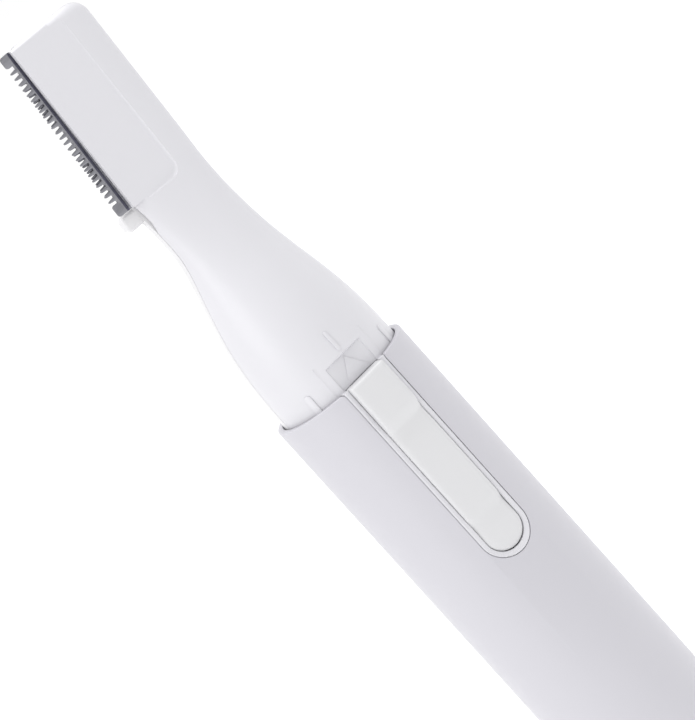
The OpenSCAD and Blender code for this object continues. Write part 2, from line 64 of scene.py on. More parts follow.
def corners(node):
    low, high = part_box(node)
    return Vector(low) / MM, Vector(high) / MM


grip_low, grip_high = corners("grip_sleeve")
slide_low, slide_high = corners("switch_slide")

MOUTH = grip_high.z
GRIP_R = grip_high.x
GRIP_WALL = 0.8
GRIP_FLOOR = 1.2
BASE_EDGE_R = 1.8
SLOT_R = 3.55
SLOT_LEN = 28.9
SLOT_Z = MOUTH - SLOT_LEN + SLOT_R

SHELL_R = GRIP_R - GRIP_WALL - 0.2
BORE_R = SHELL_R - 1.2
SHELL_FOOT = corners("front_shell")[0].z
BAY_FLOOR = SHELL_FOOT + 1.7
BULKHEAD = (BAY_FLOOR + 56.5, BAY_FLOOR + 57.7)
WALL = 1.1
SEAM_GAP = 0.1

RIM_R = SLOT_R - 0.1
SLIDE_R = (slide_high.x - slide_low.x) / 2
SLIDE_FIT = 0.02
TRACK_R = SLIDE_R + 0.08
TRACK_FLOOR = 7.85
TRACK_WALL_T = 1.0
RECESS_FLOOR = 8.12
RECESS_LEN = 3.4
STEM_HALF_W = 1.1
STEM_Z = (68.6, 71)
STEM_FOOT_Y = -5.58
ARROW_H = 0.12
BAR_R = 0.25
BAR_W = (4.35, 6.75)                    # the ends of the raised bar, by height above the mouth

# The head leans in the plane of its face, from a short bend in the neck
LEAN = math.radians(3.84)
BEND_FROM, BEND_TO = 25.0, 31.0
BEND_R = (BEND_TO - BEND_FROM) / LEAN
BEND_X = BEND_R * (1 - math.cos(LEAN))
BEND_Z = BEND_FROM + BEND_R * math.sin(LEAN)
REACH = 56.1

# Neck and head: height above the mouth, left edge, right edge, front depth, back depth, squareness
STATIONS = [
    (0.0, -8.80, 8.80, 8.80, 8.80, 2.0),
    (4.0, -8.75, 8.75, 8.72, 8.74, 2.0),
    (8.0, -8.45, 8.42, 8.35, 8.42, 2.0),
    (12.0, -7.80, 7.82, 7.50, 7.75, 2.0),
    (16.0, -6.77, 7.02, 6.20, 6.70, 2.1),
    (20.0, -5.72, 6.38, 4.80, 5.40, 2.2),
    (24.0, -4.95, 6.00, 3.70, 4.30, 2.3),
    (28.0, -4.95, 5.80, 2.85, 3.40, 2.5),
    (32.0, -5.46, 5.68, 2.35, 2.90, 2.8),
    (36.0, -5.46, 5.72, 2.25, 2.70, 3.0),
    (54.7, -5.46, 5.76, 2.12, 2.55, 3.0),
]
TIP_ROUND = (0.4, 2.3, 1.3, 1.3)        # the tip's rounding at its left, right, front and back
SEAM_Y = -0.8
SEAM_W = (15, 24)                       # between these heights the parting line moves from the middle to SEAM_Y
HEAD_BACK_Y = 2.2

BLADE_LINE = -5.48
FACET_RIGHT = 1.77
FACET_FROM = 32.3
FACET_Y = -2.0
FACET_CORNER = 1.3
COMB_Y = (-1.2, -0.8)
COMB_W = (32.35, 55.8)
MOVING_Y = (-0.78, -0.48)
MOVING_W = (33.4, 54.8)
ROOT_X = -6.41
TOOTH_TIP_X = -7.38
TOOTH_PITCH = 0.8
TOOTH_COUNT = 25
MOVING_PITCH = TOOTH_PITCH * 12 / 11
MOVING_COUNT = 23
ROW_FROM = COMB_W[0] + 2.15
ROW_TO = ROW_FROM + (TOOTH_COUNT - 1) * TOOTH_PITCH
COMB_TAPER = math.tan(math.radians(1.1))
ROW_SLANT = math.tan(LEAN + math.radians(0.64))
GROOVE_X = (ROOT_X + 0.30, ROOT_X + 0.66)
GROOVE_TAPER = math.tan(math.radians(0.64))
PIN_X = -0.6
PIN_W = (37.0, 52.0)
NUB_X = -7.5
NUB_W = (29.95, 32.15)
NUB_R = 0.6
POCKET_RIGHT = 0.9
PIVOT = (2.6, MOUTH + 24)               # x and z of the crank's pin
PIVOT_HOLE_R = 0.51
BOSS_R = 1.3

SCREWS = ((5.2, 64.0), (5.5, 92.3))
SCREW_AT = [(side * x, z) for x, z in SCREWS for side in (-1, 1)]
SCREW_BITE_R = 0.76
SCREW_CLEAR_R = 0.85
SCREW_SEAT_R = 1.4
SCREW_SEAT_Y = 4.6
FAR = 40.0


# ---------- mesh helpers ----------

def new_object(name, verts, faces):
    mesh = bpy.data.meshes.new(name)
    mesh.from_pydata([tuple(v) for v in verts], [], faces)
    mesh.validate()
    piece = bpy.data.objects.new(name, mesh)
    bpy.context.collection.objects.link(piece)
    tidy(piece)
    return piece


def tidy(piece, merge=1e-4):
    """Merges doubled points and turns every face outwards."""
    bm = bmesh.new()
    bm.from_mesh(piece.data)
    bmesh.ops.remove_doubles(bm, verts=bm.verts, dist=merge)
    bmesh.ops.recalc_face_normals(bm, faces=bm.faces)
    bm.to_mesh(piece.data)
    bm.free()


def loft(name, rings):
    """A closed solid through rings of equally many points, with flat ends."""
    n = len(rings[0])
    verts = [p for ring in rings for p in ring]
    faces = [tuple(range(n))]
    for r in range(len(rings) - 1):
        for k in range(n):
            a, b = r * n + k, r * n + (k + 1) % n
            faces.append((a, a + n, b + n, b))
    faces.append(tuple((len(rings) - 1) * n + k for k in reversed(range(n))))
    return new_object(name, verts, faces)


def prism_y(name, outline, y):
    """An (x, z) outline pulled from one depth to another."""
    return loft(name, [[(px, d, pz) for px, pz in outline] for d in y])


def prism_x(name, outline, x):
    """A (y, z) outline pulled along X."""
    return loft(name, [[(d, py, pz) for py, pz in outline] for d in x])


def block(name, x, y, z):
    return prism_y(name, [(x[0], z[0]), (x[1], z[0]), (x[1], z[1]), (x[0], z[1])], y)


def post(name, r, y, x, z, sides=48):
    """A round post along Y."""
    return prism_y(name, arc((x, z), r, 0, 360, sides)[:-1], y)


def arc(centre, r, start, stop, count):
    """Points on an arc, in degrees, both ends included."""
    return [(centre[0] + r * math.cos(math.radians(a)), centre[1] + r * math.sin(math.radians(a)))
            for a in (start + (stop - start) * k / count for k in range(count + 1))]


def circle(r, sides):
    """Points (x, y) round the handle's axis."""
    return [(r * math.cos(a), r * math.sin(a)) for a in (2 * math.pi * k / sides for k in range(sides))]


def lathe(name, profile, sides):
    """A (radius, z) profile turned about Z; it starts and ends on the axis."""
    inner = profile[1:-1]
    verts = [(0, 0, profile[0][1])]
    for r, z in inner:
        verts += [(x, y, z) for x, y in circle(r, sides)]
    verts.append((0, 0, profile[-1][1]))
    faces = []
    for k in range(sides):
        j = (k + 1) % sides
        faces.append((0, 1 + j, 1 + k))
        for i in range(len(inner) - 1):
            a = 1 + i * sides
            faces.append((a + k, a + j, a + sides + j, a + sides + k))
        a = 1 + (len(inner) - 1) * sides
        faces.append((a + k, a + j, len(verts) - 1))
    return new_object(name, verts, faces)


def boolean(target, operation, *tools):
    """Cuts, adds or intersects with each tool in turn, and removes the tools."""
    for tool in tools:
        step = target.modifiers.new("boolean", "BOOLEAN")
        step.operation = operation
        step.solver = "MANIFOLD"
        step.object = tool
        bake(target)
        bpy.data.objects.remove(tool, do_unlink=True)
    return target


def bake(piece):
    """Applies every modifier on a piece to its mesh."""
    graph = bpy.context.evaluated_depsgraph_get()
    made = bpy.data.meshes.new_from_object(piece.evaluated_get(graph))
    old = piece.data
    piece.modifiers.clear()
    piece.data = made
    bpy.data.meshes.remove(old)


def bevel(piece, width, segments=3, angle=35):
    edge = piece.modifiers.new("bevel", "BEVEL")
    edge.width = width
    edge.segments = segments
    edge.limit_method = "ANGLE"
    edge.angle_limit = math.radians(angle)
    edge.use_clamp_overlap = True
    edge.miter_outer = "MITER_ARC"
    bake(piece)


def join(target, *others):
    """Puts several closed shells into one piece."""
    bm = bmesh.new()
    for o in (target,) + others:
        bm.from_mesh(o.data)
    bm.to_mesh(target.data)
    bm.free()
    for o in others:
        bpy.data.objects.remove(o, do_unlink=True)
    return target


def into_head(piece):
    """Moves a piece made in straight coordinates (z is the height above the mouth) into the leaning head."""
    piece.data.transform(Matrix.Translation((BEND_X, 0, MOUTH + BEND_Z))
                         @ Matrix.Rotation(LEAN, 4, "Y")
                         @ Matrix.Translation((0, 0, -BEND_TO)))
    return piece


def finish_piece(piece, body, nodes, material, smooth=32):
    """Scales a piece to metres, smooths it, gives it its material, hangs it on its body and hides the imported
    solids that it stands for.
    """
    piece.data.transform(Matrix.Scale(MM, 4))
    piece.data.shade_smooth()
    piece.data.set_sharp_from_angle(angle=math.radians(smooth))
    piece.data.materials.clear()
    piece.data.materials.append(material)
    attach(piece, body)
    if nodes:
        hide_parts(*nodes)
    return piece


# ---------- the neck and head's surface ----------

def slope(i, c):
    if i in (0, len(STATIONS) - 1):
        return 0.0
    a, b = STATIONS[i - 1], STATIONS[i + 1]
    return (b[c] - a[c]) / (b[0] - a[0])


def column(w, c):
    """Smooth cubic through one column of the stations."""
    i = max(k for k in range(len(STATIONS) - 1) if k == 0 or w >= STATIONS[k][0])
    a, b = STATIONS[i], STATIONS[i + 1]
    h = b[0] - a[0]
    t = min(1.0, max(0.0, (w - a[0]) / h))
    return ((2 * t ** 3 - 3 * t ** 2 + 1) * a[c] + (t ** 3 - 2 * t ** 2 + t) * h * slope(i, c)
            + (3 * t ** 2 - 2 * t ** 3) * b[c] + (t ** 3 - t ** 2) * h * slope(i + 1, c))


def leaned(x, y, w):
    if w <= BEND_FROM:
        return x, y, MOUTH + w
    if w <= BEND_TO:
        a = (w - BEND_FROM) / BEND_R
        return (BEND_R * (1 - math.cos(a)) + x * math.cos(a), y,
                MOUTH + BEND_FROM + BEND_R * math.sin(a) - x * math.sin(a))
    up = w - BEND_TO
    return (BEND_X + up * math.sin(LEAN) + x * math.cos(LEAN), y,
            MOUTH + BEND_Z + up * math.cos(LEAN) - x * math.sin(LEAN))


def power(v, p):
    return math.copysign(abs(v) ** p, v)


def section(w, inset, sides):
    """One cross-section of the neck or head."""
    shrink = [max(0.0, w - REACH + r) for r in TIP_ROUND]
    shrink = [r - math.sqrt(max(0.0, r * r - d * d)) for r, d in zip(TIP_ROUND, shrink)]
    left, right = column(w, 1) + inset + shrink[0], column(w, 2) - inset - shrink[1]
    front, back = column(w, 3) - inset - shrink[2], column(w, 4) - inset - shrink[3]
    p = 2 / column(w, 5)
    mid, half = (left + right) / 2, (right - left) / 2
    ring = []
    for k in range(sides):
        a = 2 * math.pi * k / sides
        c, s = power(math.cos(a), p), power(math.sin(a), p)
        ring.append(leaned(mid + half * c, (front if s < 0 else back) * s, w))
    return ring


def skin_y(x, z):
    """Depth of the neck's front surface below the bend."""
    w = max(0.0, z - MOUTH)
    left, right, n = column(w, 1), column(w, 2), column(w, 5)
    u = min(1.0, abs((2 * x - left - right) / (right - left)))
    return -column(w, 3) * (1 - u ** n) ** (1 / n)


def steps(start, stop, size):
    n = max(1, round((stop - start) / size))
    return [start + (stop - start) * k / n for k in range(n + 1)]


def body_outside():
    """The two shells' common outside, as one solid from the foot to the tip."""
    sides = 120
    rings = []
    foot_r = 0.5
    for k in range(5):
        a = math.pi / 2 * k / 4
        r = SHELL_R - foot_r * (1 - math.sin(a))
        z = SHELL_FOOT + foot_r * (1 - math.cos(a))
        rings.append([(x, y, z) for x, y in circle(r, sides)])
    curve = TIP_ROUND[1]
    levels = steps(0, 36, 0.75) + steps(36, REACH - curve, 2.4)[1:]
    levels += [REACH - curve + curve * math.sin(math.pi / 2 * k / 12) for k in range(1, 13)]
    rings += [section(w, 0, sides) for w in levels]
    return loft("outside", rings)


def body_inside():
    """The hollows: the battery's bay, and the motor's room with the neck above it."""
    sides = 72
    bore = circle(BORE_R, sides)
    bay = loft("bay", [[(x, y, z) for x, y in bore] for z in (BAY_FLOOR, BULKHEAD[0])])
    room = [[(x, y, BULKHEAD[1]) for x, y in bore]]
    room += [section(w, WALL, sides) for w in steps(0, 30, 1.5)]
    return bay, loft("room", room)


def seam_block(front, gap):
    """Everything on one side of the parting line."""
    side = -1 if front else 1
    start, stop = SEAM_W
    line = [(0.0, -FAR), (0.0, MOUTH + start)]
    line += [(SEAM_Y * (1 - math.cos(math.pi * k / 8)) / 2, MOUTH + start + (stop - start) * k / 8)
             for k in range(1, 9)]
    line += [(SEAM_Y, MOUTH + 2 * FAR)]
    outline = [(y + side * gap / 2, z) for y, z in line]
    outline += [(side * FAR, MOUTH + 2 * FAR), (side * FAR, -FAR)]
    return prism_x("side", outline, (-FAR, FAR))


def u_outline(r, top):
    """A slot's (x, z) outline with a round lower end."""
    return [(r, top), (-r, top)] + arc((0, SLOT_Z), r, 180, 360, 28)


def facet_cutter():
    """The sunk face panel: a flat floor with a soft fillet up to the head's surface."""
    fillet = 0.55
    rings = []
    for k in range(9):
        a = math.radians(60) * k / 8
        spread, height = fillet * math.sin(a), fillet * (1 - math.cos(a))
        rings.append((spread - 0.15, FACET_Y - height))
    rings.append((rings[-1][0] + 1.6, rings[-1][1] - 2.8))
    solid = []
    for spread, y in rings:
        r = FACET_CORNER + spread
        outline = [(BLADE_LINE - 2, FACET_FROM - spread)]
        outline += arc((FACET_RIGHT - FACET_CORNER, FACET_FROM + FACET_CORNER), r, 270, 360, 14)
        outline += [(FACET_RIGHT + spread, 62), (BLADE_LINE - 2, 62)]
        solid.append([(x, y, w) for x, w in outline])
    return into_head(loft("facet", solid))


def recess_cutter():
    """The slide's recess above the mouth, with soft edges that follow the neck."""
    path = [(-TRACK_R, z) for z in steps(MOUTH - 0.003, MOUTH + RECESS_LEN, 0.3)]
    path += [(x, MOUTH + RECESS_LEN) for x in steps(-TRACK_R, TRACK_R, 0.3)[1:-1]]
    path += [(TRACK_R, z) for z in reversed(steps(MOUTH - 0.003, MOUTH + RECESS_LEN, 0.3))]
    rings = [[(x * 1.12, -SHELL_R - 2, z + 0.34 * (z > MOUTH + RECESS_LEN - 1e-6)) for x, z in path]]
    for spread, share in ((0.34, -0.02), (0.24, 0.06), (0.16, 0.18), (0.09, 0.38), (0.03, 0.68), (0.0, 1.0)):
        ring = []
        for x, z in path:
            px = x + math.copysign(spread, x) * (abs(x) > TRACK_R - 1e-6)
            pz = z + spread * (z > MOUTH + RECESS_LEN - 1e-6)
            skin = skin_y(px, pz)
            ring.append((px, skin - share * (RECESS_FLOOR + skin), pz))
        rings.append(ring)
    return loft("recess", rings)


def rim():
    """The raised rim round the thumb slide, flush with the sleeve, with soft top edges."""
    soft = 0.1
    spine = [(1.0, 0.0, MOUTH), (1.0, 0.0, SLOT_Z)]
    for k in range(1, 28):
        a = -math.pi * k / 28
        spine.append((math.cos(a), math.sin(a), SLOT_Z))
    spine += [(-1.0, 0.0, SLOT_Z), (-1.0, 0.0, MOUTH)]
    rings = []
    inner = SLIDE_R + SLIDE_FIT
    for nx, nz, z in spine:
        sunk = 0.12 + 0.22 * max(0.0, -nz)
        ring = []
        for r, drop in ((inner, 2.2), (inner, sunk + soft + 0.06), (TRACK_R, sunk + soft),
                        (TRACK_R + soft * 0.3, sunk + soft * 0.3), (TRACK_R + soft, sunk - 0.02),
                        (RIM_R - soft, 0.0), (RIM_R - soft * 0.3, soft * 0.3), (RIM_R, soft),
                        (SLOT_R - 0.03, soft + 0.06), (SLOT_R - 0.03, 2.2)):
            x = nx * r
            ring.append((x, -math.sqrt(GRIP_R ** 2 - x * x) + drop, z + nz * r))
        rings.append(ring)
    return loft("rim", rings)


def mouth_rib(side):
    """A small rib with a round top, which centres the sleeve's mouth."""
    rib = prism_y("rib", [(-0.5, MOUTH - 8), (0.5, MOUTH - 8)] + arc((0, MOUTH + 2.0), 0.5, 0, 180, 10),
                  (-SHELL_R - 0.15, -SHELL_R + 0.6))
    bevel(rib, 0.1, 2)
    rib.data.transform(Matrix.Rotation(math.radians(side * 46), 4, "Z"))
    return rib


def raised_marks():
    """An arrow in the slide's recess, and one plain bar at the switched-on end."""
    arrow = prism_y("arrow", [(-1.9, MOUTH + 0.1), (1.9, MOUTH + 0.1), (0, MOUTH + 3.2)],
                    (-RECESS_FLOOR - ARROW_H, -RECESS_FLOOR + 0.2))
    bevel(arrow, 0.06, 2)
    low, high = BAR_W
    bar_ends = arc((0, MOUTH + high), BAR_R, 0, 180, 8) + arc((0, MOUTH + low), BAR_R, 180, 360, 8)
    bar = prism_y("bar", bar_ends, (-0.14, 0.5))
    tilt = math.atan2(column(low, 3) - column(high, 3), high - low)
    bevel(bar, 0.08, 2)
    middle = MOUTH + (low + high) / 2
    bar.data.transform(Matrix.Translation((0, -column(middle - MOUTH, 3), middle))
                       @ Matrix.Rotation(-tilt, 4, "X") @ Matrix.Translation((0, 0, -middle)))
    return arrow, bar


def screw_posts(r, y):
    """The four screws' posts, cut off inside the shell's wall."""
    posts = join(*[post("post", r, y, x, z) for x, z in SCREW_AT])
    limit = loft("limit", [[(px, py, z) for px, py in circle(BORE_R + 0.3, 96)] for z in (60, MOUTH)])
    return boolean(posts, "INTERSECT", limit)


def crank_boss(y):
    return post("boss", BOSS_R, y, *PIVOT)


def motor_walls(front):
    """Half-ring walls that carry the motor."""
    walls = []
    low, high = corners("motor_can")
    for z in (low.z + 2.7, low.z + 12.8):
        wall = lathe("wall", [(0, z), (BORE_R + 0.2, z), (BORE_R + 0.2, z + 1), (0, z + 1)], 72)
        hole = motor_prism("hole", 0.12, (z - 1, z + 2))
        half = block("half", (-FAR, FAR), (-FAR, -0.05) if front else (0.05, FAR), (0, MOUTH))
        walls.append(boolean(boolean(wall, "DIFFERENCE", hole), "INTERSECT", half))
    return join(*walls)


def motor_prism(name, grow, z):
    r, flat = 6 + grow, 5 + grow
    a = math.degrees(math.asin(flat / r))
    outline = arc((0, 0), r, -a, a, 16) + arc((0, 0), r, 180 - a, 180 + a, 16)
    return loft(name, [[(x, y, h) for x, y in outline] for h in z])


def head_edge(face, seam):
    """Squares the head's side along the comb, with a rounded end at the tip."""
    r, top, side = 0.6, REACH - 0.12, math.copysign(1, face)
    outline = [(seam, FACET_FROM), (face, FACET_FROM)]
    outline += [(face - side * (r - u), w) for u, w in arc((0, top - r), r, 0, 90, 8)]
    outline.append((seam, top))
    return into_head(prism_x("head_edge", outline, (BLADE_LINE, 0)))


def nub_groove():
    """A tapering gap between the front shell and the nub."""
    wedge = [(-6.5, FACET_FROM + 0.02), (BLADE_LINE + 0.36, FACET_FROM + 0.02), (-4.78, 30.4), (-4.66, 29.4),
             (-4.72, 28.4), (-4.95, 26.6), (-6.5, 26.6)]
    return into_head(prism_y("groove", wedge, (-3.5, FAR)))


def front_shell(material):
    shell = body_outside()
    boolean(shell, "INTERSECT", seam_block(True, SEAM_GAP))
    boolean(shell, "UNION", head_edge(FACET_Y - 0.05, SEAM_Y - SEAM_GAP / 2))
    boolean(shell, "DIFFERENCE", *body_inside())
    boolean(shell, "UNION",
            block("track_wall", (-4, 4), (-TRACK_FLOOR, -TRACK_FLOOR + TRACK_WALL_T),
                  (SLOT_Z - 3.6, MOUTH + 4.5)),
            rim(), motor_walls(True), screw_posts(1.6, (-7, -0.3)), crank_boss((-2.6, -1.25)),
            mouth_rib(-1), mouth_rib(1))
    boolean(shell, "DIFFERENCE",
            prism_y("track", u_outline(SLIDE_R + SLIDE_FIT, MOUTH + 0.01), (-FAR, -TRACK_FLOOR)),
            recess_cutter(), nub_groove(),
            block("stem_slot", (-STEM_HALF_W - 0.1, STEM_HALF_W + 0.1), (-FAR, -BORE_R + 2),
                  (STEM_Z[0] - 0.1, STEM_Z[1] + 3.5)),
            block("plus_slot", (-1.7, 1.7), (-5.5, -4.7), (BULKHEAD[0] - 1, BULKHEAD[1] + 1)),
            into_head(block("comb_pocket", (-FAR, 0.7), (COMB_Y[0] - 0.02, FAR),
                            (COMB_W[0] - 0.05, COMB_W[1] + 0.05))),
            facet_cutter(), post("pin_hole", PIVOT_HOLE_R, (-2.4, 0), *PIVOT),
            *[post("hole", SCREW_BITE_R, (-4.8, 0), x, z) for x, z in SCREW_AT])
    boolean(shell, "UNION", *raised_marks())
    tidy(shell)
    return finish_piece(shell, "chassis", ["front_shell"], material)


def guard_nub():
    """Rounded nub beside the lower end of the blade."""
    low, high = NUB_W
    outline = arc((NUB_X + NUB_R, low + NUB_R), NUB_R, 180, 270, 8) + [(-5.0, low), (-5.0, high)]
    outline += arc((NUB_X + NUB_R, high - NUB_R), NUB_R, 90, 180, 8)
    nub = prism_y("nub", outline, (SEAM_Y + SEAM_GAP / 2, 1.2))
    bevel(nub, 0.42, 5, 60)
    return into_head(nub)


def back_shell(material):
    shell = body_outside()
    boolean(shell, "INTERSECT", seam_block(False, SEAM_GAP))
    boolean(shell, "UNION", head_edge(HEAD_BACK_Y, SEAM_Y + SEAM_GAP / 2))
    boolean(shell, "DIFFERENCE", *body_inside())
    boolean(shell, "UNION", guard_nub(), motor_walls(False), screw_posts(1.8, (0.3, 6.2)),
            crank_boss((1.35, 3.1)))
    boolean(shell, "DIFFERENCE",
            block("minus_slot", (6.9, 7.5), (-1.35, 1.35), (BULKHEAD[0] - 1, BULKHEAD[1] + 1)),
            into_head(block("pocket", (-3.6, POCKET_RIGHT), (-1, 1.4), (28, MOVING_W[1] + 0.4))),
            into_head(block("blade_slot", (-FAR, POCKET_RIGHT), (-1, MOVING_Y[1] + 0.06),
                            (FACET_FROM, MOVING_W[1] + 0.4))),
            post("pin_hole", PIVOT_HOLE_R, (1, 2.7), *PIVOT),
            block("window", (-7.15, 7.15), (1.5, FAR), (BAY_FLOOR + 0.6, BULKHEAD[0] - 0.6)))
    for x, z in SCREW_AT:
        boolean(shell, "DIFFERENCE", post("hole", SCREW_CLEAR_R, (0, FAR), x, z),
                post("seat", SCREW_SEAT_R, (SCREW_SEAT_Y, FAR), x, z))
    tidy(shell)
    return finish_piece(shell, "chassis", ["back_shell"], material)


# ---------- sleeve ----------

def grip_sleeve(material):
    inner_r = GRIP_R - GRIP_WALL
    outer_soft, inner_soft = 0.15, 0.1
    profile = [(0, 0)] + arc((GRIP_R - BASE_EDGE_R, BASE_EDGE_R), BASE_EDGE_R, 270, 360, 16)
    profile += [(GRIP_R, MOUTH / 2)]
    profile += arc((GRIP_R - outer_soft, MOUTH - outer_soft), outer_soft, 0, 90, 6)
    profile += arc((inner_r + inner_soft, MOUTH - inner_soft), inner_soft, 90, 180, 4)
    profile += [(inner_r, MOUTH / 2)]
    profile += arc((inner_r - 0.6, GRIP_FLOOR + 0.6), 0.6, 360, 270, 6) + [(0, GRIP_FLOOR)]
    sleeve = lathe("grip_sleeve_skin", profile, 168)
    mouth_corner = 0.45
    outline = [(SLOT_R + mouth_corner, MOUTH + 1), (-SLOT_R - mouth_corner, MOUTH + 1)]
    outline += arc((-SLOT_R - mouth_corner, MOUTH - mouth_corner), mouth_corner, 90, 0, 6)
    outline += arc((0, SLOT_Z), SLOT_R, 180, 360, 36)
    outline += arc((SLOT_R + mouth_corner, MOUTH - mouth_corner), mouth_corner, 180, 90, 6)
    boolean(sleeve, "DIFFERENCE", prism_y("slot", outline, (-FAR, -4)))
    bevel(sleeve, 0.09, 2, 50)
    return finish_piece(sleeve, "grip", ["grip_sleeve"], material)


# ---------- thumb slide ----------

HIGH_STEP = (5.7, 7.6)                  # the two steps down, by distance below the mouth
LOW_STEP = (21.1, 22.6)
PLATFORM_Y, MIDDLE_Y, FOOT_Y = 10.3, 9.66, 9.38


def slide_height(z):
    """Distance of the slide's top from the axis: a platform, then two steps that the thumb pushes against."""
    q = MOUTH - z
    (high_from, high_to), (low_from, low_to) = HIGH_STEP, LOW_STEP
    if q < high_to:
        return PLATFORM_Y - 0.72 * max(0.0, (q - high_from) / (high_to - high_from)) ** 1.7
    if q < low_to:
        scoop = 0.08 * math.exp(-((q - high_to - 0.9) / 1.1) ** 2)
        return MIDDLE_Y - scoop - 0.34 * max(0.0, (q - low_from) / (low_to - low_from)) ** 1.7
    return FOOT_Y - 0.06 * math.exp(-((q - low_to - 0.7) / 0.9) ** 2)


def scallop(z):
    """How much wider the slide's edge bevel is, from 0 to 1: most at the foot of each step."""
    q = MOUTH - z
    return max(max(0.0, 1 - (foot - q) / 1.7) if q < foot else math.exp((foot - q) / 2.5)
               for foot in (HIGH_STEP[1], LOW_STEP[1]))


def underside(z):
    """Distance of the slide's underside from the axis; its top end clears the recess's floor and arrow."""
    rise = min(1.0, max(0.0, (z - (MOUTH - 4.6)) / 0.6))
    return TRACK_FLOOR + 0.03 + (RECESS_FLOOR + ARROW_H - TRACK_FLOOR) * rise


def slide_outline(inset):
    """Right half of the slide's plan from its round foot to its top, as (x, z) points."""
    half, top, corner = SLIDE_R - inset, MOUTH - inset, 0.3
    foot_z = slide_low.z + SLIDE_R
    half_line = [(half * math.sin(a), foot_z - half * math.cos(a))
                 for a in (math.pi / 2 * k / 16 for k in range(17))]
    half_line += [(half, z) for z in steps(foot_z, MOUTH - 0.8, 0.22)[1:]]
    r = max(corner - inset * 0.5, 0.05)
    half_line += arc((half - r, top - r), r, 0, 90, 6)
    half_line.append((0.0, top))
    return half_line


def switch_slide(material):
    """The thumb slide: rings that step in round its edge as a fillet, closed by rungs across."""
    inset_to, drop_from = 0.62, 0.40
    profile = [(0.0, None)]
    profile += [(inset_to * (1 - math.cos(math.radians(a))), drop_from * (1 - math.sin(math.radians(a))))
                for a in (0, 15, 30, 45, 60, 75, 90)]
    rings = []
    for inset, drop in profile:
        right = slide_outline(inset)
        outline = right + [(-x, z) for x, z in reversed(right[1:-1])]
        ring = []
        for x, z in outline:
            wider = scallop(z)
            narrow = 1 - 0.26 * wider * inset / inset_to
            y = -underside(z) if drop is None else drop * (1 + 0.3 * wider) - slide_height(z)
            ring.append((x * narrow, y, z))
        rings.append(ring)
    n, count = len(rings[0]), len(slide_outline(0))
    verts = [p for ring in rings for p in ring]
    faces = []
    for r in range(len(rings) - 1):
        for k in range(n):
            a, b = r * n + k, r * n + (k + 1) % n
            faces.append((a, b, b + n, a + n))
    top = (len(rings) - 1) * n
    for base in (0, top):
        for k in range(count - 1):
            right_a, right_b = base + k, base + k + 1
            left_a, left_b = base + (n - k) % n, base + (n - k - 1) % n
            if k == 0:
                faces.append((right_a, right_b, left_b))
            elif k == count - 2:
                faces.append((right_a, right_b, left_a))
            else:
                faces.append((right_a, right_b, left_b, left_a))
    slide = new_object("switch_slide_skin", verts, faces)
    stem = block("stem", (-STEM_HALF_W, STEM_HALF_W), (-underside(0) - 0.1, STEM_FOOT_Y), STEM_Z)
    join(slide, stem)
    return finish_piece(slide, "switch", ["switch_slide"], material, 40)


# ---------- blades ----------

def taper(w):
    """How far the row of teeth has come in towards the face panel."""
    return (w - COMB_W[0]) * COMB_TAPER


def comb_outline(count, pitch, tip_x, root_w, tip_w, right, low, high, ends=()):
    """A plate's (x, w) outline with round-tipped teeth along its tapering -X side, from the top down."""
    outline = [(right, low), (right, high), (ROOT_X + taper(high), high)]
    notches = []
    for k in range(count):
        w = ROW_FROM + k * pitch
        tip = arc((tip_x + tip_w / 2 + taper(w), w), tip_w / 2, 90, 270, 6)
        notches.append([(ROOT_X + taper(w), w + root_w / 2)] + tip + [(ROOT_X + taper(w), w - root_w / 2)])
    for start, stop in ends:
        x, r = tip_x + taper(start), 0.32
        notches.append([(ROOT_X + taper(stop), stop)] + arc((x + r, stop - r), r, 90, 180, 5)
                       + arc((x + r, start + r), r, 180, 270, 5) + [(ROOT_X + taper(start), start)])
    notches.sort(key=lambda line: -line[0][1])
    for line in notches:
        outline += line
    return outline + [(ROOT_X, low)]


def clean_outline(outline):
    """Drops repeated points."""
    kept = []
    for p in outline:
        if not kept or (Vector(p) - Vector(kept[-1])).length > 1e-3:
            kept.append(p)
    return kept


def comb_plate(name, outline, y, holes):
    plate = prism_y(name, outline, y)
    for x, w, r in holes:
        boolean(plate, "DIFFERENCE", post("hole", r, (y[0] - 1, y[1] + 1), x, w, 32))
    bevel(plate, 0.035, 2, 30)
    return into_head(plate)


def fixed_blade(material):
    low, high = COMB_W
    outline = comb_outline(TOOTH_COUNT, TOOTH_PITCH, TOOTH_TIP_X, 0.5, 0.28, 0.6, low, high,
                           ((low, low + 1.6), (ROW_TO + 0.72, high + 0.2)))
    outline = [p for p in outline if p != (ROOT_X + taper(high), high)]
    outline.insert(2, (BLADE_LINE - 0.1, high))
    outline.insert(3, (BLADE_LINE - 0.1, high + 0.2))
    plate = comb_plate("fixed_blade_skin", clean_outline(outline), COMB_Y, [(PIN_X, w, 0.72) for w in PIN_W])
    start, stop = low + 0.35, high - 0.2
    edge = [(x, start) for x in GROOVE_X]
    edge += [(x + (stop - start) * GROOVE_TAPER, stop) for x in reversed(GROOVE_X)]
    boolean(plate, "DIFFERENCE", into_head(prism_y("groove", edge, (COMB_Y[0] - 1, COMB_Y[0] + 0.14))))
    return finish_piece(plate, "chassis", ["fixed_blade"], material)


def moving_blade(material):
    outline = comb_outline(MOVING_COUNT, MOVING_PITCH, TOOTH_TIP_X + 0.2, 0.46, 0.28, 0.0, *MOVING_W)
    plate = comb_plate("moving_blade_skin", clean_outline(outline), MOVING_Y, [])
    for w in PIN_W:
        slot = arc((PIN_X, w + 0.6), 0.78, 0, 180, 12) + arc((PIN_X, w - 0.6), 0.78, 180, 360, 12)
        boolean(plate, "DIFFERENCE", into_head(prism_y("slot", slot, (-2, 1))))
    return finish_piece(plate, "blade", ["moving_blade"], material)


# ---------- materials ----------

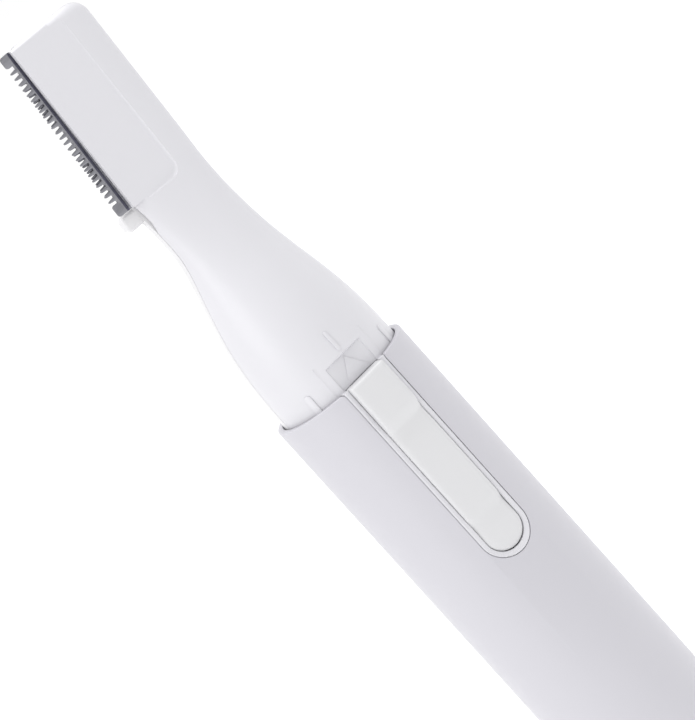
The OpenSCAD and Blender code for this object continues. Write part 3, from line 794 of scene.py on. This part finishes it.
class Nodes:
    """Short way to build one procedural material."""

    def __init__(self, name):
        self.material = bpy.data.materials.new(name)
        self.material.use_nodes = True
        self.tree = self.material.node_tree
        self.tree.nodes.clear()
        self.out = self.add("ShaderNodeOutputMaterial")
        self.shader = self.add("ShaderNodeBsdfPrincipled")
        self.link(self.shader.outputs[0], self.out.inputs[0])
        self.place = self.add("ShaderNodeTexCoord").outputs["Object"]

    def add(self, kind, **settings):
        node = self.tree.nodes.new(kind)
        for key, value in settings.items():
            setattr(node, key, value)
        return node

    def link(self, a, b):
        self.tree.links.new(a, b)

    def stretch(self, scale):
        mapping = self.add("ShaderNodeMapping")
        mapping.inputs["Scale"].default_value = scale
        self.link(self.place, mapping.inputs["Vector"])
        return mapping.outputs[0]

    def noise(self, scale, detail=3.0, vector=None, rough=0.5):
        node = self.add("ShaderNodeTexNoise")
        node.inputs["Scale"].default_value = scale
        node.inputs["Detail"].default_value = detail
        node.inputs["Roughness"].default_value = rough
        self.link(vector or self.place, node.inputs["Vector"])
        return node.outputs[0]

    def ramp(self, value, low, high, low_at=0.3, high_at=0.7):
        node = self.add("ShaderNodeMapRange")
        node.inputs["From Min"].default_value = low_at
        node.inputs["From Max"].default_value = high_at
        node.inputs["To Min"].default_value = low
        node.inputs["To Max"].default_value = high
        self.link(value, node.inputs["Value"])
        return node.outputs[0]

    def colours(self, value, stops):
        node = self.add("ShaderNodeValToRGB")
        ramp = node.color_ramp
        while len(ramp.elements) < len(stops):
            ramp.elements.new(0.5)
        for element, (at, colour) in zip(ramp.elements, stops):
            element.position = at
            element.color = (*colour, 1)
        self.link(value, node.inputs[0])
        return node.outputs[0]

    def bump(self, height, strength, distance, after=None):
        node = self.add("ShaderNodeBump")
        node.inputs["Strength"].default_value = strength
        node.inputs["Distance"].default_value = distance
        self.link(height, node.inputs["Height"])
        if after is not None:
            self.link(after, node.inputs["Normal"])
        return node.outputs[0]

    def set(self, **values):
        for key, value in values.items():
            self.shader.inputs[key.replace("_", " ")].default_value = value


def shade(colour, amount):
    return tuple(min(1.0, c * amount) for c in colour)


def plastic(name, colour, rough, grain, grain_depth, mottle=0.012):
    """Moulded plastic: fine spark-erosion grain, faint flow marks and a slightly uneven gloss."""
    m = Nodes(name)
    flow = m.noise(60.0, 3.0, m.stretch((1.0, 1.0, 0.35)))
    m.link(m.colours(flow, ((0.3, shade(colour, 1 - mottle)), (0.7, shade(colour, 1 + mottle)))),
           m.shader.inputs["Base Color"])
    m.link(m.ramp(m.noise(900.0, 4.0), rough - 0.04, rough + 0.05), m.shader.inputs["Roughness"])
    fine = m.bump(m.noise(grain, 2.0), 0.35, grain_depth)
    waves = m.bump(m.noise(140.0, 1.0), 0.10, grain_depth * 8, fine)
    m.link(waves, m.shader.inputs["Normal"])
    m.set(IOR=1.49, Specular_IOR_Level=0.5)
    return m.material


def ground_steel(name, colour, dark, painted_shade_band=None):
    """Ground steel: fine scratches across the plate, uneven gloss, and painted shade along its shallow groove:
    a darker colour that stands in for the shadow in the gap beside the face panel.
    """
    m = Nodes(name)
    scratches = m.noise(900.0, 5.0, m.stretch((0.6, 6.0, 9.0)), 0.7)
    blotches = m.noise(500.0, 3.0)
    tone = m.colours(scratches, ((0.25, shade(colour, 0.78)), (0.75, shade(colour, 1.18))))
    # painted shade: between the groove's edges the steel takes the dark colour, standing in for the shadow
    # beside the face panel
    if painted_shade_band:
        split = m.add("ShaderNodeSeparateXYZ")
        m.link(m.place, split.inputs[0])
        lean = m.add("ShaderNodeMath", operation="MULTIPLY_ADD")
        m.link(split.outputs["Z"], lean.inputs[0])
        lean.inputs[1].default_value = -ROW_SLANT
        m.link(split.outputs["X"], lean.inputs[2])
        soft = 0.05 * MM
        enter = m.ramp(lean.outputs[0], 0.0, 1.0, painted_shade_band[0] - soft, painted_shade_band[0] + soft)
        leave = m.ramp(lean.outputs[0], 1.0, 0.0, painted_shade_band[1] - soft, painted_shade_band[1] + soft)
        both = m.add("ShaderNodeMath", operation="MULTIPLY")
        m.link(enter, both.inputs[0])
        m.link(leave, both.inputs[1])
        mix = m.add("ShaderNodeMix", data_type="RGBA")
        m.link(both.outputs[0], mix.inputs["Factor"])
        m.link(tone, mix.inputs["A"])
        m.link(m.colours(blotches, ((0.3, shade(dark, 0.7)), (0.7, shade(dark, 1.25)))), mix.inputs["B"])
        tone = mix.outputs["Result"]
    m.link(tone, m.shader.inputs["Base Color"])
    m.link(m.ramp(blotches, 0.28, 0.42), m.shader.inputs["Roughness"])
    m.link(m.bump(scratches, 0.25, 0.000004), m.shader.inputs["Normal"])
    m.set(Metallic=1.0)
    return m.material


def metal(name, colour, rough, stretch=(1.0, 1.0, 8.0)):
    """Drawn or rolled metal with faint lines and a little tarnish."""
    m = Nodes(name)
    lines = m.noise(700.0, 4.0, m.stretch(stretch))
    tarnish = m.noise(260.0, 3.0)
    m.link(m.colours(tarnish, ((0.3, shade(colour, 0.82)), (0.7, colour))), m.shader.inputs["Base Color"])
    m.link(m.ramp(lines, rough - 0.06, rough + 0.1), m.shader.inputs["Roughness"])
    m.link(m.bump(lines, 0.2, 0.000005), m.shader.inputs["Normal"])
    m.set(Metallic=1.0)
    return m.material


def soft_rubber(name, colour):
    """Dull, gritty rubber or ferrite."""
    m = Nodes(name)
    grit = m.noise(2500.0, 4.0)
    m.link(m.colours(grit, ((0.3, shade(colour, 0.8)), (0.7, shade(colour, 1.3)))),
           m.shader.inputs["Base Color"])
    m.link(m.ramp(grit, 0.65, 0.85), m.shader.inputs["Roughness"])
    m.link(m.bump(grit, 0.4, 0.00002), m.shader.inputs["Normal"])
    return m.material


def cell_film(name):
    """A plain two-tone film on the battery cell, with a bare rim at each end."""
    m = Nodes(name)
    split = m.add("ShaderNodeSeparateXYZ")
    m.link(m.place, split.inputs[0])
    low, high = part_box("battery_cell")
    along = m.ramp(split.outputs["Z"], 0.0, 1.0, low[2], high[2])
    bare, dark, light = (0.55, 0.55, 0.56), (0.035, 0.05, 0.09), (0.62, 0.50, 0.28)
    tone = m.colours(along, ((0.0, bare), (0.018, bare), (0.022, dark), (0.70, dark),
                             (0.705, light), (0.978, light), (0.982, bare)))
    m.link(tone, m.shader.inputs["Base Color"])
    m.link(m.ramp(m.noise(800.0, 3.0), 0.22, 0.34), m.shader.inputs["Roughness"])
    m.link(m.bump(m.noise(400.0, 2.0), 0.1, 0.00001), m.shader.inputs["Normal"])
    m.set(Metallic=0.35)
    return m.material


def groove_shade_edges():
    """The groove's two edges, as the slanted distance that the comb's material measures; between them the
    material paints shade.
    """
    edges = []
    bend_end = Vector((BEND_X, 0, MOUTH + BEND_Z))
    for x in GROOVE_X:
        at = Matrix.Rotation(LEAN, 4, "Y") @ Vector((x, 0, COMB_W[0] - BEND_TO)) + bend_end
        edges.append((at.x - at.z * ROW_SLANT) * MM)
    return edges


GRIP = plastic("grip_plastic", (0.452, 0.446, 0.478), 0.45, 5200.0, 0.000006, 0.010)
BODY = plastic("body_plastic", (0.536, 0.532, 0.558), 0.36, 6500.0, 0.000003, 0.008)
# painted light: the back shell uses a lighter copy of the front shell's plastic, which brightens the nub and
# the back shell's strip beside the neck
BACK_PAINTED_LIGHT = plastic("back_plastic_painted_light", (0.578, 0.574, 0.586), 0.36, 6500.0, 0.000003, 0.008)
SWITCH = plastic("switch_plastic", (0.532, 0.532, 0.543), 0.36, 6500.0, 0.000003, 0.006)
INNER = plastic("inner_plastic", (0.70, 0.71, 0.72), 0.45, 4500.0, 0.000008, 0.03)
BLACK = plastic("black_plastic", (0.03, 0.03, 0.033), 0.40, 4500.0, 0.000008, 0.10)
# The comb's second, dark colour is painted shade, laid along the groove beside the face panel
COMB = ground_steel("comb_steel", (0.23, 0.23, 0.25), (0.078, 0.078, 0.104), groove_shade_edges())
EDGE = ground_steel("moving_steel", (0.17, 0.17, 0.19), (0.05, 0.05, 0.06))
SPRING = metal("spring_steel", (0.60, 0.60, 0.62), 0.28)
SCREW = metal("screw_steel", (0.62, 0.62, 0.64), 0.22)
CAN = metal("motor_steel", (0.66, 0.66, 0.68), 0.34)
COPPER = metal("contact_copper", (0.83, 0.50, 0.32), 0.30)
MAGNET = soft_rubber("magnet_ferrite", (0.05, 0.05, 0.055))
RUBBER = soft_rubber("cushion_rubber", (0.03, 0.03, 0.032))
CELL = cell_film("cell_film")

NODE_MATERIALS = {
    "shell_screws": SCREW, "blade_pins": INNER, "blade_spring": SPRING, "lever_pin": SPRING,
    "blade_driver": INNER, "drive_lever": INNER, "motor_can": CAN, "motor_magnets": MAGNET,
    "motor_end_bell": BLACK, "motor_brushes": COPPER, "motor_terminals": COPPER, "motor_cushion": RUBBER,
    "motor_shaft": SPRING, "motor_armature": COPPER, "motor_commutator": COPPER, "eccentric_cam": INNER,
    "eccentric_pin": SPRING, "battery_cell": CELL, "battery_terminal": SPRING, "positive_contact": COPPER,
    "negative_spring": SPRING, "negative_strip": COPPER, "motor_strip": COPPER, "slide_clip": INNER,
    "switch_bridge": COPPER,
}


def dress_nodes():
    """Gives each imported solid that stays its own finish."""
    for name, material in NODE_MATERIALS.items():
        node = frame["nodes"][name]
        node.data.materials.clear()
        node.data.materials.append(material)


# ---------- stage, light and camera ----------

def floor():
    size = 6.0
    plane = new_object("floor", [(-size, -size, 0), (size, -size, 0), (size, size, 0), (-size, size, 0)],
                       [(0, 1, 2, 3)])
    m = Nodes("pale_floor")
    m.link(m.colours(m.noise(3.0, 2.0), ((0.3, (0.93, 0.93, 0.93)), (0.7, (0.95, 0.95, 0.95)))),
           m.shader.inputs["Base Color"])
    m.set(Roughness=0.9)
    plane.data.materials.append(m.material)


def world(strength):
    sky = bpy.data.worlds.new("studio")
    sky.use_nodes = True
    sky.node_tree.nodes["Background"].inputs["Color"].default_value = (1.0, 1.0, 1.0, 1.0)
    sky.node_tree.nodes["Background"].inputs["Strength"].default_value = strength
    bpy.context.scene.world = sky


def softbox(name, place, target, size, power_w):
    lamp = bpy.data.lights.new(name, "AREA")
    lamp.shape = "RECTANGLE"
    lamp.size, lamp.size_y = size
    lamp.energy = power_w
    box = bpy.data.objects.new(name, lamp)
    box.location = place
    box.rotation_mode = "QUATERNION"
    box.rotation_quaternion = (Vector(target) - Vector(place)).to_track_quat("-Z", "Y")
    bpy.context.collection.objects.link(box)


def camera():
    """Looks from the front left, a little down, rolled so that the handle runs to the lower right."""
    azimuth, elevation, roll = math.radians(-16.53), math.radians(10.87), math.radians(-41.99)
    distance, lens = 0.5945, 245.78
    target = Vector((0.00225, -0.00063, 0.09696))
    back = Vector((math.sin(azimuth) * math.cos(elevation), -math.cos(azimuth) * math.cos(elevation),
                   math.sin(elevation)))
    right = Vector((math.cos(azimuth), math.sin(azimuth), 0))
    up = back.cross(right)
    turn = Matrix((right, up, back)).transposed() @ Matrix.Rotation(roll, 3, "Z")
    data = bpy.data.cameras.new("camera")
    data.lens = lens
    data.sensor_width = 36.0
    cam = bpy.data.objects.new("camera", data)
    cam.location = target + back * distance
    cam.rotation_mode = "QUATERNION"
    cam.rotation_quaternion = turn.to_quaternion()
    bpy.context.collection.objects.link(cam)
    bpy.context.scene.camera = cam


# ---------- build ----------

grip_sleeve(GRIP)
front_shell(BODY)
back_shell(BACK_PAINTED_LIGHT)
switch_slide(SWITCH)
fixed_blade(COMB)
moving_blade(EDGE)
dress_nodes()

floor()
world(1.02)
softbox("key", (-0.66, -0.18, 0.32), (0, 0, 0.10), (0.5, 0.5), 1.45)
softbox("top", (0.0, 0.06, 0.95), (0, 0, 0), (0.8, 0.8), 7.0)
softbox("fill", (0.60, -0.10, 0.30), (0, 0, 0.10), (0.5, 0.5), 0.24)
camera()
bpy.context.scene.view_settings.view_transform = "Standard"
